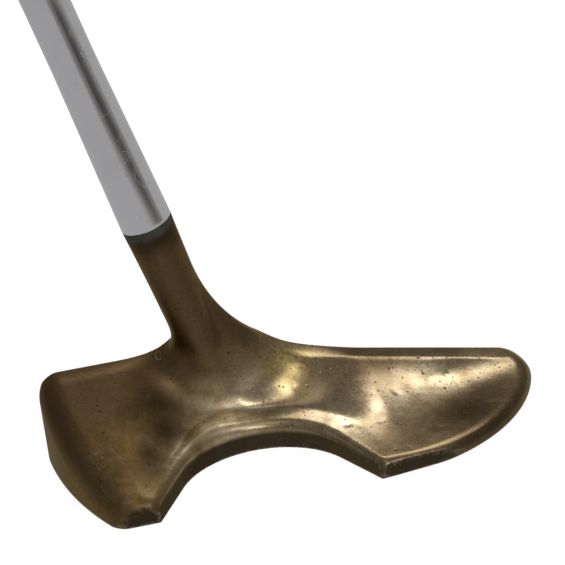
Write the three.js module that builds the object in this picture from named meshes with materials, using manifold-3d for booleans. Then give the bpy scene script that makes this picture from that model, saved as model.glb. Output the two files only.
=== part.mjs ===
// A right-handed putter with a cast brass head, a chromed steel shaft and a leather grip.
// Millimetres. +X runs from heel to toe, +Y towards the target and +Z up. The origin lies on
// the sole, on the centre line of the round cut-out, a little way behind the striking face.
import * as THREE from 'three';
import { mergeVertices } from 'three/addons/utils/BufferGeometryUtils.js';
import Module from 'manifold-3d';

const wasm = await Module();
wasm.setup();

// Clearances and cutting
const gap = 0.3; // between pieces that touch
const overrun = 4; // how far a cutting block reaches past the metal
const castPitch = 1.5; // grid spacing on the cast surface
const slopeStep = 0.01; // step over which the casting's slope is measured
const polishPasses = 3;
const polishReachShare = 0.25; // furthest slide of a grid point in one pass, as a share of the pitch
const leastSlopeShare = 0.25;

// Head in plan: the face lies across the front, the two rear flats across the back
const originBehindFace = 7;
const headDepth = 37;
const faceLoft = THREE.MathUtils.degToRad(3);
const heelReach = 42.4;
const heelRadius = 82;
const heelCentreAhead = 2.6;
const toeReach = 63.2;
const toePastFlat = 0.5; // how far the toe's arc would run past the rear flats
const toeCentreAhead = 1.8;
const toeFlatTurn = THREE.MathUtils.degToRad(9); // the toe's rear flat turns forward from the heel's

// The round cut-out, about a ball's width, whose mouth flares between the flats
const notchRadius = 18.6;
const notchCentreInset = 3.3; // the arc's centre lies this far ahead of the rear flats
const mouthHalfWidth = 22.9;

// Head in height: a level topline at the heel, then a straight fall towards the toe
const heelHeight = 19.8;
const toeHeight = 4.3;
const kneeBehindCentre = 8.5; // the fall starts this far to the heel side of the centre line
const toplineWidth = 4.8;
const heelLipHeight = 5.1;
const toeLipHeight = 4;
const rimHeight = 3.8;

// The toe's back slope drops off behind the topline like a blade
const bladeDrop = 4;
const bladeReach = 8; // distance in which about two thirds of the drop is reached

// The bowl round the cut-out: a gentle terrace beside it, then a bank that turns up steeply
const bowlHeight = 5.8;
const terraceSlopeAngle = THREE.MathUtils.degToRad(12.4);
const terraceWidth = 5;
const heelTerraceWidth = 1.8;
const bankAngle = THREE.MathUtils.degToRad(49);
const toeBankAngle = THREE.MathUtils.degToRad(35);
const bankSoftness = 2; // radius in plan over which the terrace turns up into the bank
const toewardShare = 0.6; // sine of the turn towards the toe at which the bank has eased
const heelwardShare = 0.2; // sine of the turn to the heel from which the terrace narrows

// Low shoulder in the bowl's bank under the neck
const shoulderHeight = 1.8;
const shoulderFromCentre = 11; // to the heel side
const shoulderBehindFace = 11;
const shoulderLength = 8;
const shoulderWidth = 7;

// The thumb-shaped hollow in the toe wing
const hollowDepth = 2.6;
const hollowFromCentre = 47;
const hollowBehindFace = 18.5;
const hollowLength = 15;
const hollowWidth = 8;
const hollowTurn = THREE.MathUtils.degToRad(35);

// Soft edges and cast fillets
const kneeBlend = 2;
const toplineBlend = 0.8;
const spreadShare = 1.5; // growth of that blend with height over the metal, inside the fillets
const lobeBlend = 7;
const bowlBlend = 6;
const rimBlend = 3;
const heelRimRadius = 5.2;
const toeRimRadius = 2.8;
const toeTipRadius = 7; // the rim's radius where the topline runs out at the toe
const toeTipReach = 12;
const notchRimRadius = 2; // roll of the cut-out's upper edge
const notchRimOverlap = 0.2; // how far the rolled edge's skin runs on past the cut-out's wall
const soleEdgeRadius = 1.2;
const filletShare = 0.25; // share of a blend's width by which it fills the corner

// Neck, which leans back from the toe and swells to meet the shaft
const lieLean = THREE.MathUtils.degToRad(14.4);
const neckFromCentre = 6.5;
const neckBehindFace = 4.6;
const neckFootHeight = 21.3;
const neckLength = 31.5;
const neckRadius = 4.75;
const neckRootDrop = 13; // how far the neck runs down inside the crown
const neckRootTaper = 3.6; // loss of radius on the way
const neckRootLean = 2.2; // how far its root bends forward on the way
const neckHeelBlend = 13;
const neckBackBlend = 10;
const neckToeBlend = 30;
const neckToeFocus = 3; // how closely the toe's wide fillet keeps to the toe side
const tenonLength = 30;

// Shaft, flared over the tenon
const shaftLength = 826;
const shaftRadius = 4.7;
const shaftTipRadius = 5.4;
const shaftButtRadius = 7.35;
const shaftWall = 0.6;
const shaftFlareLength = 38;
const shaftParallelLength = 250;
const shaftEdge = 0.5;
const shaftFootShare = 0.25; // width of the shaft's flat foot, as a share of its wall
const shaftSides = 32;

// Grip, with its flat front for the thumbs on the side away from the player
const gripLength = 267;
const gripLowRadius = 10;
const gripTopRadius = 13.2;
const gripLowFlatShare = 0.98; // distance of the flat front, as a share of the radius
const gripTopFlatShare = 0.8;
const gripCornerShare = 0.25;
const tapeThickness = 0.4;
const leatherThickness = 1.4;
const collarLength = 14;
const collarLowWall = 0.9;
const collarBulge = 0.8;
const capThickness = 6;
const capLip = 0.6;
const capEdgeRadius = 2.4;
const gripSides = 32;
const gripStations = 6;

// Butt plug and the screw that holds the cap to it
const plugLength = 46;
const screwShankRadius = 2;
const screwHeadRadius = 4.2;
const screwHeadHeight = 2.4;
const screwLength = 30;
const screwSlotWidth = 1;
const screwSlotDepth = 1.1;
const screwTipLength = 4;
const screwSink = 0.4;
const smallSides = 20;

// Smallest of two distances, its corner filled over the blend's width
function blendedLeast(a, b, blend) {
  const nearness = Math.max(1 - Math.abs(a - b) / blend, 0);
  return Math.min(a, b) - nearness * nearness * blend * filletShare;
}

// Largest of two distances, its corner softened over the blend's width
function blendedMost(a, b, blend) {
  return -blendedLeast(-a, -b, blend);
}

// Largest of two distances, its corner rounded to a true radius
function roundedMost(a, b, radius) {
  const corner = Math.hypot(Math.max(a + radius, 0), Math.max(b + radius, 0));
  return Math.min(Math.max(a, b), -radius) + corner;
}

// Smooth change from 0 to 1
function softStep(value, low, high) {
  const share = Math.min(Math.max((value - low) / (high - low), 0), 1);
  return share * share * (3 - 2 * share);
}

// Distance of a point from a surface whose height above it is known and whose steepest slope is given
function fromHeight(height, slope) {
  return height / Math.hypot(1, slope);
}

// Places in plan that follow from the sizes above. Behind the face means towards -Y.
const toeRadius = headDepth + toeCentreAhead + toePastFlat;
const toeCentre = toeReach - toeRadius;
const heelCentre = heelRadius - heelReach;
const toeFall = (heelHeight - toeHeight) / (toeReach + kneeBehindCentre);
const heelSlope = (heelHeight - heelLipHeight) / (headDepth - toplineWidth);
const toplineAtMouth = heelHeight - toeFall * (mouthHalfWidth + kneeBehindCentre);
const toeSlope = (toplineAtMouth - bladeDrop - toeLipHeight) / (headDepth - toplineWidth);
const notchCentreBehind = headDepth - notchCentreInset;
const mouthCornerAngle = Math.atan2(-notchCentreInset, mouthHalfWidth);
const mouthCornerReach = Math.hypot(mouthHalfWidth, notchCentreInset);
const notchSideAngle = mouthCornerAngle + Math.acos(notchRadius / mouthCornerReach);
const terraceSlope = Math.tan(terraceSlopeAngle);
const bankSlope = Math.tan(bankAngle);
const toeBankSlope = Math.tan(toeBankAngle);
const neckFoot = new THREE.Vector3(-neckFromCentre, -neckBehindFace, neckFootHeight);
const neckTurn = new THREE.Matrix4().makeRotationY(-lieLean);
const alongNeck = new THREE.Matrix4().makeTranslation(neckFoot).multiply(neckTurn);
const acrossCast = new THREE.Matrix4().copy(alongNeck).invert();

// Height over the bowl round the cut-out: a gentle cone for the terrace, then a curve that turns
// up to a steep cone, which eases off towards the toe
function bowlDistance(x, y, z) {
  const fromCentre = Math.hypot(x, y + notchCentreBehind);
  const out = Math.max(fromCentre - notchRadius, 0);
  const toeward = x / Math.max(fromCentre, slopeStep);
  const steepness = bankSlope + (toeBankSlope - bankSlope) * softStep(toeward, 0, toewardShare);
  const heelPart = softStep(-toeward, heelwardShare, 1);
  const past = Math.max(out - terraceWidth - (heelTerraceWidth - terraceWidth) * heelPart, 0);
  const eased = Math.hypot(past, bankSoftness);
  const across = (x + shoulderFromCentre) / shoulderLength;
  const along = (y + shoulderBehindFace) / shoulderWidth;
  const shoulder = shoulderHeight * Math.exp(-(across ** 2 + along ** 2));
  const height = bowlHeight + shoulder + out * terraceSlope + (eased - bankSoftness) * steepness;
  return fromHeight(z - height, terraceSlope + (steepness * past) / eased);
}

// Top of the head without the neck: topline, heel slope, toe slope with its drop and hollow, the
// bowl round the cut-out, and the level rim behind them all
function crownDistance(x, y, z) {
  const underHeel = z - heelHeight;
  const underToe = underHeel + (x + kneeBehindCentre) * toeFall;
  const topline = blendedMost(underHeel, fromHeight(underToe, toeFall), kneeBlend);
  const behindTopline = -(y + toplineWidth);
  const heelBack = fromHeight(underHeel + behindTopline * heelSlope, heelSlope);
  const u = x - hollowFromCentre;
  const v = y + hollowBehindFace;
  const alongHollow = (u * Math.cos(hollowTurn) + v * Math.sin(hollowTurn)) / hollowLength;
  const acrossHollow = (v * Math.cos(hollowTurn) - u * Math.sin(hollowTurn)) / hollowWidth;
  const hollow = hollowDepth * Math.exp(-(alongHollow ** 2 + acrossHollow ** 2));
  const drop = bladeDrop * (1 - Math.exp(-Math.max(behindTopline, 0) / bladeReach));
  const toeHeightOver = underToe + behindTopline * toeSlope + drop + hollow;
  const toeBack = fromHeight(toeHeightOver, Math.hypot(toeFall, toeSlope));
  const lobes = blendedMost(heelBack, toeBack, lobeBlend);
  const backs = blendedMost(lobes, bowlDistance(x, y, z), bowlBlend);
  const rear = blendedLeast(backs, z - rimHeight, rimBlend);
  const above = Math.max(topline, rear, 0);
  return blendedMost(topline, rear, toplineBlend + above * spreadShare);
}

// Distance past the lofted face
function faceDistance(y, z) {
  return y * Math.cos(faceLoft) + z * Math.sin(faceLoft);
}

// Neck: a round bar about its own axis, whose root tapers, bends forward and ends in a ball
function neckRadiusAt(along) {
  const rise = Math.min(Math.max(along / neckLength, 0), 1);
  return neckRadius + (shaftTipRadius - neckRadius) * rise * rise - neckRootTaper * neckRootAt(along);
}

function neckRootAt(along) {
  return softStep(-along, 0, neckRootDrop);
}

// Plan distance outside the cut-out: the arc, whose sides run on straight to the mouth's corners
function notchDistance(x, y) {
  const side = Math.abs(x);
  const rear = y + notchCentreBehind;
  if (Math.atan2(rear, side) > notchSideAngle) return Math.hypot(side, rear) - notchRadius;
  return side * Math.cos(notchSideAngle) + rear * Math.sin(notchSideAngle) - notchRadius;
}

const neckPoint = new THREE.Vector3();

// Outer skin of the casting before the flat cuts: below zero is metal
function castDistance(x, y, z) {
  neckPoint.set(x, y, z).applyMatrix4(acrossCast);
  neckPoint.y -= neckRootLean * neckRootAt(neckPoint.z);
  const fromAxis = Math.hypot(neckPoint.x, neckPoint.y);
  const pastRoot = Math.min(neckPoint.z + neckRootDrop, 0);
  const neck = Math.hypot(fromAxis, pastRoot) - neckRadiusAt(neckPoint.z);
  const toeward = fromAxis > 0 ? Math.max(neckPoint.x / fromAxis, 0) : 0;
  const backward = fromAxis > 0 ? Math.max(-neckPoint.y / fromAxis, 0) : 0;
  const toeSwell = (neckToeBlend - neckHeelBlend) * toeward ** neckToeFocus;
  const backSwell = (neckBackBlend - neckHeelBlend) * softStep(backward, 0, 1);
  const blade = Math.max(crownDistance(x, y, z), faceDistance(y, z) - castPitch);
  const crown = blendedLeast(blade, neck, neckHeelBlend + toeSwell + backSwell);
  const heelSide = Math.hypot(x - heelCentre, y - heelCentreAhead) - heelRadius;
  const toeSide = Math.hypot(Math.max(x - toeCentre, 0), y - toeCentreAhead) - toeRadius;
  const heelEdge = roundedMost(crown, x < toeCentre ? heelSide : heelSide - heelRadius, heelRimRadius);
  const nearTip = Math.max(1 + Math.min(y, 0) / toeTipReach, 0);
  const toeRounding = toeRimRadius + (toeTipRadius - toeRimRadius) * nearTip * nearTip;
  const skin = roundedMost(heelEdge, toeSide, toeRounding);
  const soleEdge = roundedMost(skin, -(z + slopeStep), soleEdgeRadius);
  const rimRoll = notchRimRadius * Math.min(Math.max((z - soleEdgeRadius) / notchRimRadius, 0), 1);
  const rolled = roundedMost(soleEdge, -notchDistance(x, y) - notchRimOverlap, rimRoll);
  return Math.max(rolled, y - overrun, -(y + headDepth + overrun), neckPoint.z - neckLength - overrun);
}

// Closed surface where a distance is zero. Each grid cell that it crosses gets one vertex,
// which is then slid down the slope on to the surface, and each crossed edge one four-sided face.
function surfaceOf(distance, low, high, pitch) {
  const [nx, ny, nz] = ['x', 'y', 'z'].map((axis) => Math.ceil((high[axis] - low[axis]) / pitch) + 1);
  const steps = [1, nx, nx * ny];
  const value = new Float64Array(nx * ny * nz);
  const place = (i, j, k) => [low.x + i * pitch, low.y + j * pitch, low.z + k * pitch];
  const cellVertex = new Int32Array(value.length).fill(-1);
  const points = [];
  const index = [];
  for (let k = 0, n = 0; k < nz; k++) {
    for (let j = 0; j < ny; j++) {
      for (let i = 0; i < nx; i++, n++) value[n] = distance(...place(i, j, k));
    }
  }
  const inside = (n) => value[n] < 0;
  const apart = (m, n) => Math.hypot(...[0, 1, 2].map((axis) => points[m * 3 + axis] - points[n * 3 + axis]));
  const slopeAt = (p) => [0, 1, 2].map((axis) => {
    const ahead = [...p];
    const behind = [...p];
    ahead[axis] += slopeStep;
    behind[axis] -= slopeStep;
    return (distance(...ahead) - distance(...behind)) / (slopeStep + slopeStep);
  });
  const polish = (p) => {
    for (let pass = 0; pass < polishPasses; pass++) {
      const slope = slopeAt(p);
      const slide = distance(...p) / Math.max(Math.hypot(...slope) ** 2, leastSlopeShare);
      const step = Math.min(Math.max(slide, -pitch * polishReachShare), pitch * polishReachShare);
      p.forEach((coordinate, axis) => { p[axis] = coordinate - step * slope[axis]; });
    }
  };
  for (let k = 0; k < nz - 1; k++) {
    for (let j = 0; j < ny - 1; j++) {
      for (let i = 0; i < nx - 1; i++) {
        const corner = (k * ny + j) * nx + i;
        const start = place(i, j, k);
        const sum = [0, 0, 0];
        let crossings = 0;
        for (let axis = 0; axis < 3; axis++) {
          const [b, c] = [0, 1, 2].filter((other) => other !== axis);
          for (let side = 0; side < 4; side++) {
            const from = corner + (side & 1) * steps[b] + (side >> 1) * steps[c];
            const to = from + steps[axis];
            if (inside(from) === inside(to)) continue;
            sum[axis] += value[from] / (value[from] - value[to]);
            sum[b] += side & 1;
            sum[c] += side >> 1;
            crossings++;
          }
        }
        if (crossings === 0) continue;
        const point = start.map((coordinate, axis) => coordinate + (sum[axis] / crossings) * pitch);
        polish(point);
        cellVertex[corner] = points.length / 3;
        points.push(...point);
      }
    }
  }
  for (let k = 1; k < nz - 1; k++) {
    for (let j = 1; j < ny - 1; j++) {
      for (let i = 1; i < nx - 1; i++) {
        const from = (k * ny + j) * nx + i;
        for (let axis = 0; axis < 3; axis++) {
          if (inside(from) === inside(from + steps[axis])) continue;
          const [b, c] = [(axis + 1) % 3, (axis + 2) % 3];
          const ring = [0, steps[b], steps[b] + steps[c], steps[c]].map((step) => cellVertex[from - step]);
          const [p, q, r, s] = inside(from) ? ring : ring.reverse();
          if (apart(p, r) < apart(q, s)) index.push(p, q, r, p, r, s);
          else index.push(q, r, s, q, s, p);
        }
      }
    }
  }
  const geometry = new THREE.BufferGeometry();
  geometry.setAttribute('position', new THREE.Float32BufferAttribute(points, 3));
  geometry.setIndex(index);
  return geometry;
}

// Closed ring-shaped solid from rows of points: each row is joined to the next, the last to the first
function ringSolid(rows) {
  const around = rows[0].length;
  const index = [];
  rows.forEach((row, r) => {
    const next = (r + 1) % rows.length;
    row.forEach((point, n) => {
      const m = (n + 1) % around;
      index.push(r * around + n, r * around + m, next * around + m);
      index.push(r * around + n, next * around + m, next * around + n);
    });
  });
  const geometry = new THREE.BufferGeometry().setFromPoints(rows.flat());
  geometry.setIndex(index);
  return geometry;
}

// Lathe about +Z instead of +Y. A profile that leaves the axis closes on itself.
function turned(profile, sides) {
  const points = profile.map(([radius, height]) => new THREE.Vector2(radius, height));
  const geometry = new THREE.LatheGeometry(points, sides);
  geometry.deleteAttribute('normal');
  geometry.deleteAttribute('uv');
  return mergeVertices(geometry.rotateX(Math.PI / 2));
}

function solidOf(geometry) {
  const plain = geometry.clone();
  plain.deleteAttribute('normal');
  plain.deleteAttribute('uv');
  const merged = mergeVertices(plain);
  const mesh = new wasm.Mesh({
    numProp: 3,
    vertProperties: Float32Array.from(merged.attributes.position.array),
    triVerts: Uint32Array.from(merged.index.array),
  });
  return new wasm.Manifold(mesh);
}

function geometryOf(solid) {
  const mesh = solid.getMesh();
  const geometry = new THREE.BufferGeometry();
  const stride = mesh.numProp;
  const corners = Array.from({ length: mesh.vertProperties.length / stride }, (_, n) => n * stride);
  const points = corners.flatMap((n) => Array.from(mesh.vertProperties.slice(n, n + 3)));
  geometry.setAttribute('position', new THREE.Float32BufferAttribute(points, 3));
  geometry.setIndex(Array.from(mesh.triVerts));
  geometry.computeVertexNormals();
  return geometry;
}

function blockBetween(low, high) {
  const size = new THREE.Vector3().subVectors(high, low);
  const centre = new THREE.Vector3().addVectors(high, low).multiplyScalar(1 / 2);
  return new THREE.BoxGeometry(size.x, size.y, size.z).translate(centre.x, centre.y, centre.z);
}

// Plan of the cut-out: its mouth between the flats, straight sides that touch the arc, and the arc
function notchPlan() {
  const flareOut = mouthHalfWidth + overrun * Math.tan(notchSideAngle);
  const plan = new THREE.Shape();
  plan.moveTo(-flareOut, -headDepth - overrun);
  plan.lineTo(flareOut, -headDepth - overrun);
  plan.absarc(0, -notchCentreBehind, notchRadius, notchSideAngle, Math.PI - notchSideAngle, false);
  plan.closePath();
  return plan;
}

// Side view of what the face leaves: the lofted plane up to the topline, then a slope that rises
// forward at 45 degrees and leaves the neck round. Drawn in -Z and +Y, to be turned upright.
function facePlan(top) {
  const back = -headDepth * 2;
  const faceTop = -heelHeight * Math.tan(faceLoft);
  const plan = new THREE.Shape();
  plan.moveTo(overrun * 2, back);
  plan.lineTo(overrun * 2, overrun * 2 * Math.tan(faceLoft));
  plan.lineTo(-heelHeight, faceTop);
  plan.lineTo(-top, faceTop + top - heelHeight);
  plan.lineTo(-top, back);
  plan.closePath();
  return plan;
}

// Cast head: the skin cut flat at the sole, the lofted face, the rear flats and the neck's end
function makeHead() {
  const neckTop = new THREE.Vector3(0, 0, neckLength).applyMatrix4(alongNeck);
  const low = new THREE.Vector3(-heelReach - overrun, -headDepth - overrun * 2, -overrun);
  const high = new THREE.Vector3(toeReach + overrun, overrun * 2, neckTop.z + overrun * 4);
  const cast = solidOf(surfaceOf(castDistance, low, high, castPitch));
  const flats = blockBetween(new THREE.Vector3(low.x, -headDepth, 0), high);
  const aheadOfToeFlat = new THREE.Vector3(high.x, headDepth * 2, high.z);
  const toeFlat = blockBetween(new THREE.Vector3(low.x * 2, 0, low.z), aheadOfToeFlat);
  toeFlat.rotateZ(toeFlatTurn).translate(mouthHalfWidth, -headDepth, 0);
  const lofted = new THREE.ExtrudeGeometry(facePlan(high.z), { depth: high.x - low.x, bevelEnabled: false });
  lofted.rotateY(Math.PI / 2).translate(low.x, 0, 0);
  const notchDepth = neckFootHeight + overrun * 2;
  const notch = new THREE.ExtrudeGeometry(notchPlan(), {
    depth: notchDepth,
    bevelEnabled: false,
    curveSegments: gripSides,
  });
  notch.translate(0, 0, -overrun);
  const neckReach = shaftTipRadius + overrun;
  const aboveNeck = new THREE.Vector3(neckReach, neckReach, neckLength + overrun * 2);
  const neckEnd = blockBetween(new THREE.Vector3(-neckReach, -neckReach, neckLength), aboveNeck);
  neckEnd.applyMatrix4(alongNeck);
  const tenon = turned([
    [0, neckLength - overrun],
    [boreRadiusAt(neckLength) - gap, neckLength - overrun],
    [boreRadiusAt(neckLength) - gap, neckLength],
    [boreRadiusAt(neckLength + tenonLength) - gap, neckLength + tenonLength],
    [0, neckLength + tenonLength],
  ], shaftSides).applyMatrix4(alongNeck);
  const ground = cast.intersect(solidOf(flats)).intersect(solidOf(toeFlat)).intersect(solidOf(lofted));
  return geometryOf(ground.subtract(solidOf(notch)).subtract(solidOf(neckEnd)).add(solidOf(tenon)));
}

// Shaft: heights run up its own axis from the foot of the neck
const shaftStart = neckLength + gap;
const shaftEnd = shaftStart + shaftLength;
const gripStart = shaftEnd - gripLength;

function shaftRadiusAt(height) {
  const upFlare = Math.min(Math.max((height - shaftStart) / shaftFlareLength, 0), 1);
  const taperLength = shaftLength - shaftParallelLength;
  const upTaper = Math.max((height - shaftStart - shaftParallelLength) / taperLength, 0);
  const flare = (shaftTipRadius - shaftRadius) * (1 - upFlare);
  return shaftRadius + flare + (shaftButtRadius - shaftRadius) * upTaper;
}

function boreRadiusAt(height) {
  return shaftRadiusAt(height) - shaftWall;
}

function makeShaft() {
  const heights = [shaftStart, shaftStart + shaftFlareLength, shaftStart + shaftParallelLength, shaftEnd];
  const outer = heights.map((height) => [shaftRadiusAt(height), height]);
  const inner = heights.map((height) => [boreRadiusAt(height), height]).reverse();
  outer[0] = [shaftTipRadius, shaftStart + shaftEdge];
  const foot = [boreRadiusAt(shaftStart) + shaftWall * shaftFootShare, shaftStart];
  return turned([foot, ...outer, ...inner, foot], shaftSides);
}

// Grip sections: a circle whose +X side is cut by the flat front, given the radius and the flat's distance
function gripSection(radius, flat, height) {
  return Array.from({ length: gripSides }, (_, n) => {
    const angle = ((n + 1 / 2) / gripSides) * Math.PI * 2;
    const toFlat = Math.cos(angle) > 0 ? flat / Math.cos(angle) : radius + flat;
    const reach = blendedLeast(radius, toFlat, radius * gripCornerShare);
    return new THREE.Vector3(reach * Math.cos(angle), reach * Math.sin(angle), height);
  });
}

// Section of the grip, grown or shrunk by an offset from its leather surface
function leatherSection(height, offset) {
  const up = (height - gripStart) / gripLength;
  const radius = gripLowRadius + (gripTopRadius - gripLowRadius) * up;
  const flatShare = gripLowFlatShare + (gripTopFlatShare - gripLowFlatShare) * up;
  return gripSection(radius + offset, radius * flatShare + offset, height);
}

function roundSection(radius, height) {
  return gripSection(radius, radius * 2, height);
}

function stationsOf(low, high) {
  return Array.from({ length: gripStations }, (_, n) => low + ((high - low) * n) / (gripStations - 1));
}

// Sleeve between two families of sections: up the outside, then down the inside
function sleeve(low, high, outer, inner) {
  const heights = stationsOf(low, high);
  return ringSolid([...heights.map(outer), ...heights.reverse().map(inner)]);
}

const tapeInnerAt = (height) => shaftRadiusAt(height) + gap;
const tapeOuterAt = (height) => tapeInnerAt(height) + tapeThickness;
const leatherInset = -(leatherThickness + gap);

function makeTape() {
  const heights = [gripStart, shaftEnd];
  const outer = heights.map((height) => [tapeOuterAt(height), height]);
  const inner = heights.map((height) => [tapeInnerAt(height), height]).reverse();
  return turned([...outer, ...inner, outer[0]], shaftSides);
}

function makeUnderlisting() {
  const outer = (height) => leatherSection(height, leatherInset);
  const inner = (height) => roundSection(tapeOuterAt(height) + gap, height);
  return sleeve(gripStart, shaftEnd, outer, inner);
}

function makeLeather() {
  const outer = (height) => leatherSection(height, 0);
  const inner = (height) => leatherSection(height, -leatherThickness);
  return sleeve(gripStart, shaftEnd, outer, inner);
}

function makeCollar() {
  const top = gripStart - gap;
  const low = top - collarLength;
  const lowRadius = shaftRadiusAt(low) + gap;
  const topRadius = shaftRadiusAt(top) + gap;
  const middle = (lowRadius + collarLowWall + gripLowRadius) / 2 + collarBulge;
  return turned([
    [lowRadius, low],
    [lowRadius + collarLowWall, low],
    [middle, (low + top) / 2],
    [gripLowRadius, top - collarBulge],
    [gripLowRadius, top],
    [topRadius, top],
    [lowRadius, low],
  ], shaftSides);
}

// Cap: the grip's own section, a little proud of the leather, rounded over to a shallow dome
const capLow = shaftEnd + gap;
const capTop = capLow + capThickness;
const screwHeadBase = capTop - screwSink - screwHeadHeight;

function makeCap() {
  const edge = (offset, height) => leatherSection(shaftEnd, offset).map((point) => point.setZ(height));
  const rounding = Array.from({ length: gripStations }, (_, n) => {
    const turn = (n / (gripStations - 1)) * (Math.PI / 2);
    const inset = capEdgeRadius * (1 - Math.cos(turn));
    return edge(capLip - inset, capTop - screwSink - capEdgeRadius * (1 - Math.sin(turn)));
  });
  return ringSolid([
    edge(capLip, capLow),
    ...rounding,
    roundSection(screwHeadRadius + gap, capTop),
    roundSection(screwHeadRadius + gap, screwHeadBase + screwHeadHeight - gap),
    roundSection(screwShankRadius + gap, screwHeadBase - gap),
    roundSection(screwShankRadius + gap, capLow),
  ]);
}

function makePlug() {
  const top = shaftEnd;
  const low = top - plugLength;
  const holeEnd = screwHeadBase - screwLength - gap;
  return turned([
    [0, low],
    [boreRadiusAt(low) - gap, low],
    [boreRadiusAt(top) - gap, top],
    [screwShankRadius + gap, top],
    [screwShankRadius + gap, holeEnd],
    [0, holeEnd],
  ], smallSides);
}

function makeScrew() {
  const headTop = screwHeadBase + screwHeadHeight;
  const shank = turned([
    [0, screwHeadBase - screwLength],
    [screwShankRadius, screwHeadBase - screwLength + screwTipLength],
    [screwShankRadius, screwHeadBase],
    [screwHeadRadius, headTop - gap],
    [screwHeadRadius, headTop],
    [0, headTop],
  ], smallSides);
  const reach = screwHeadRadius + overrun;
  const slotLow = new THREE.Vector3(-reach, -screwSlotWidth / 2, headTop - screwSlotDepth);
  const slot = blockBetween(slotLow, new THREE.Vector3(reach, screwSlotWidth / 2, headTop + overrun));
  return geometryOf(solidOf(shank).subtract(solidOf(slot)));
}

// Finishes, as colours, roughness and how metallic they are
const finishes = {
  brass: new THREE.MeshStandardMaterial({ color: 0x7a6338, roughness: 0.38, metalness: 1 }),
  chrome: new THREE.MeshStandardMaterial({ color: 0xb9bbc0, roughness: 0.12, metalness: 1 }),
  wood: new THREE.MeshStandardMaterial({ color: 0xa9825a, roughness: 0.7, metalness: 0 }),
  tape: new THREE.MeshStandardMaterial({ color: 0xcfc3a2, roughness: 0.85, metalness: 0 }),
  rubber: new THREE.MeshStandardMaterial({ color: 0x3b3632, roughness: 0.9, metalness: 0 }),
  leather: new THREE.MeshStandardMaterial({ color: 0x5a3620, roughness: 0.6, metalness: 0 }),
  collar: new THREE.MeshStandardMaterial({ color: 0x1a1817, roughness: 0.4, metalness: 0 }),
  cap: new THREE.MeshStandardMaterial({ color: 0x1a1817, roughness: 0.4, metalness: 0 }),
  steel: new THREE.MeshStandardMaterial({ color: 0x9a9a98, roughness: 0.35, metalness: 1 }),
};

function piece(name, geometry, finish) {
  if (!geometry.attributes.normal) geometry.computeVertexNormals();
  const mesh = new THREE.Mesh(geometry, finishes[finish].clone());
  mesh.name = name;
  return mesh;
}

const club = new THREE.Group();
club.position.copy(neckFoot);
club.rotation.y = -lieLean;
club.add(
  piece('shaft', makeShaft(), 'chrome'),
  piece('butt_plug', makePlug(), 'wood'),
  piece('shaft_tape', makeTape(), 'tape'),
  piece('grip_underlisting', makeUnderlisting(), 'rubber'),
  piece('grip_leather', makeLeather(), 'leather'),
  piece('grip_collar', makeCollar(), 'collar'),
  piece('butt_cap', makeCap(), 'cap'),
  piece('cap_screw', makeScrew(), 'steel'),
);

const putter = new THREE.Group();
putter.position.y = originBehindFace;
putter.add(piece('head', makeHead(), 'brass'), club);

export default putter;
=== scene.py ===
import math

import bpy
import numpy as np
from mathutils import Matrix, Vector


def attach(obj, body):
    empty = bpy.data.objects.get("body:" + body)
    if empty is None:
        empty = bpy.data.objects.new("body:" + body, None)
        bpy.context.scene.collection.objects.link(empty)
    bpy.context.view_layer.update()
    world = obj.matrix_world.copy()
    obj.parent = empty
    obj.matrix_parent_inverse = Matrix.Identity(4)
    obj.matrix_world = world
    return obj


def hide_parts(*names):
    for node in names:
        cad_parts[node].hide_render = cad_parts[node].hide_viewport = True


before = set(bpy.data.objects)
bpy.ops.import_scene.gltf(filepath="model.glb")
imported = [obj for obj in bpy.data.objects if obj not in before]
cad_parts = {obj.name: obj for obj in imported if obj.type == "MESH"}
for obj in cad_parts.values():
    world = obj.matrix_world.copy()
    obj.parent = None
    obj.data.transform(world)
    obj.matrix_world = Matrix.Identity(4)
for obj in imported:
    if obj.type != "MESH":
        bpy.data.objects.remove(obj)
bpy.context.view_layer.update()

mm = 0.001
wholeBody = "root"
fullTurn = 2 * math.pi
tiny = 1e-6  # keeps a division off zero
print("frame loaded")


def added(name, data):
    # an object in the scene that shows some data
    thing = bpy.data.objects.new(name, data)
    bpy.context.scene.collection.objects.link(thing)
    return thing


def turned(u, v, angle):
    # two coordinates as seen from axes turned by an angle
    turnCos, turnSin = math.cos(angle), math.sin(angle)
    return u * turnCos + v * turnSin, v * turnCos - u * turnSin


# Camera: behind the head and a little to the heel side, with a long lens
cameraView = {
    "azimuth": math.radians(-7),
    "elevation": math.radians(26),
    "roll": math.radians(7.59),
    "distance": 0.6,  # metres
    "aim": (0.0098, -0.01454, 0.04076),
    "lens": 189.2,
    "sensor": 36,
}


def makeCamera():
    azimuth, elevation, roll = (cameraView[key] for key in ("azimuth", "elevation", "roll"))
    back = Vector((math.sin(azimuth) * math.cos(elevation),
                   -math.cos(azimuth) * math.cos(elevation),
                   math.sin(elevation)))
    level = Vector((math.cos(azimuth), math.sin(azimuth), 0))
    right, up = turned(level, back.cross(level), -roll)
    lens = bpy.data.cameras.new("camera")
    lens.lens = cameraView["lens"]
    lens.sensor_width = cameraView["sensor"]
    camera = added("camera", lens)
    turn = Matrix((right, up, back)).transposed().to_4x4()
    place = Vector(cameraView["aim"]) + back * cameraView["distance"]
    camera.matrix_world = Matrix.Translation(place) @ turn
    bpy.context.scene.camera = camera


makeCamera()
print("camera made")


# Grids and meshes

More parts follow.
